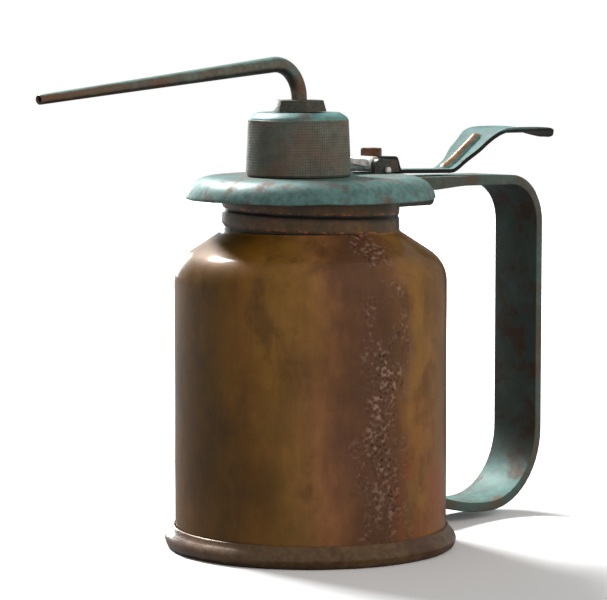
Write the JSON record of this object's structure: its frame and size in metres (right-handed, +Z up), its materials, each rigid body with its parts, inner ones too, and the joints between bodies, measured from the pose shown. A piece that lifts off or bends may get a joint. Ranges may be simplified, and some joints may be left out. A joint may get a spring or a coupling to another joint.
{
  "type": "pump oiler can",
  "caption": "Round metal oil can with a screw-on pump head, thumb lever, open strap handle and a long thin bent spout.",
  "frame": {"origin": "centre of the flat base, on the can's axis", "axes": "+X towards the handle, +Z up along the can's axis, +Y to the left when looking from the can towards the handle"},
  "size_m": [0.2229, 0.0906, 0.1513],
  "materials": {
    "copper": "aged, patchy golden to reddish brown patina",
    "teal": "worn teal patina with rust smudges",
    "darkSteel": "dark, oily and rust stained",
    "steel": "worn bright",
    "rust": "brown rust",
    "brass": "dull",
    "leather": "oil soaked",
    "rubber": "matt"
  },
  "bodies": {
    "can": {"can_body": "copper", "base_disc": "copper", "base_band": "copper"},
    "seal": {"cap_gasket": "rubber"},
    "cap": {"flange_cap": "teal", "cap_collar": "darkSteel", "strap_handle": "teal", "handle_bracket": "darkSteel", "hinge_bracket": "darkSteel", "pivot_pin": "steel", "pin_keeper": "steel", "knurled_head": "darkSteel", "pump_boss": "brass", "outlet_nipple": "brass", "outlet_packing": "leather", "spout_nut": "darkSteel", "pump_barrel": "brass", "barrel_cap": "brass", "gland_packing": "leather", "gland_nut": "brass", "foot_valve": "brass", "ball_stop": "brass", "strainer": "brass"},
    "lever": {"thumb_lever": "teal", "pump_arm": "steel", "lever_screw": "rust"},
    "plunger": {"plunger_tube": "steel", "plunger_collar": "steel", "piston": "brass", "leather_cup": "leather", "piston_nut": "brass", "return_spring": "steel"},
    "delivery_valve": {"delivery_ball": "steel"},
    "foot_check": {"foot_ball": "steel"},
    "spout": {"spout_tube": "darkSteel", "spout_ferrule": "brass"}
  },
  "joints": [
    {"name": "cap_lift", "type": "slide", "parent": "can", "child": "seal", "axis": [0, 0, 1], "range_m": [0, 0.0069]},
    {"name": "cap_turn", "type": "hinge", "parent": "seal", "child": "cap", "pos_m": [0, 0, 0.1135], "axis": [0, 0, 1], "range_deg": [-450, 0]},
    {"name": "lever_pivot", "type": "hinge", "parent": "cap", "child": "lever", "pos_m": [0.024, 0, 0.11758], "axis": [0, 1, 0], "range_deg": [-10, 0]},
    {"name": "plunger_slide", "type": "slide", "parent": "cap", "child": "plunger", "axis": [0, 0, 1], "range_m": [-0.0052, 0], "deforming": ["return_spring"]},
    {"name": "delivery_ball_lift", "type": "slide", "parent": "plunger", "child": "delivery_valve", "axis": [0, 0, 1], "range_m": [0, 0.0012]},
    {"name": "foot_ball_lift", "type": "slide", "parent": "cap", "child": "foot_check", "axis": [0, 0, 1], "range_m": [0, 0.0018]},
    {"name": "spout_swivel", "type": "hinge", "parent": "cap", "child": "spout", "pos_m": [-0.0051, 0, 0.138], "axis": [0, 0, 1], "range_deg": [-120, 120]}
  ],
  "couplings": [
    {"joint": "cap_lift", "follows": "cap_turn", "m_per_rad": -0.00087535},
    {"joint": "plunger_slide", "follows": "lever_pivot", "m_per_rad": 0.0291}
  ]
}
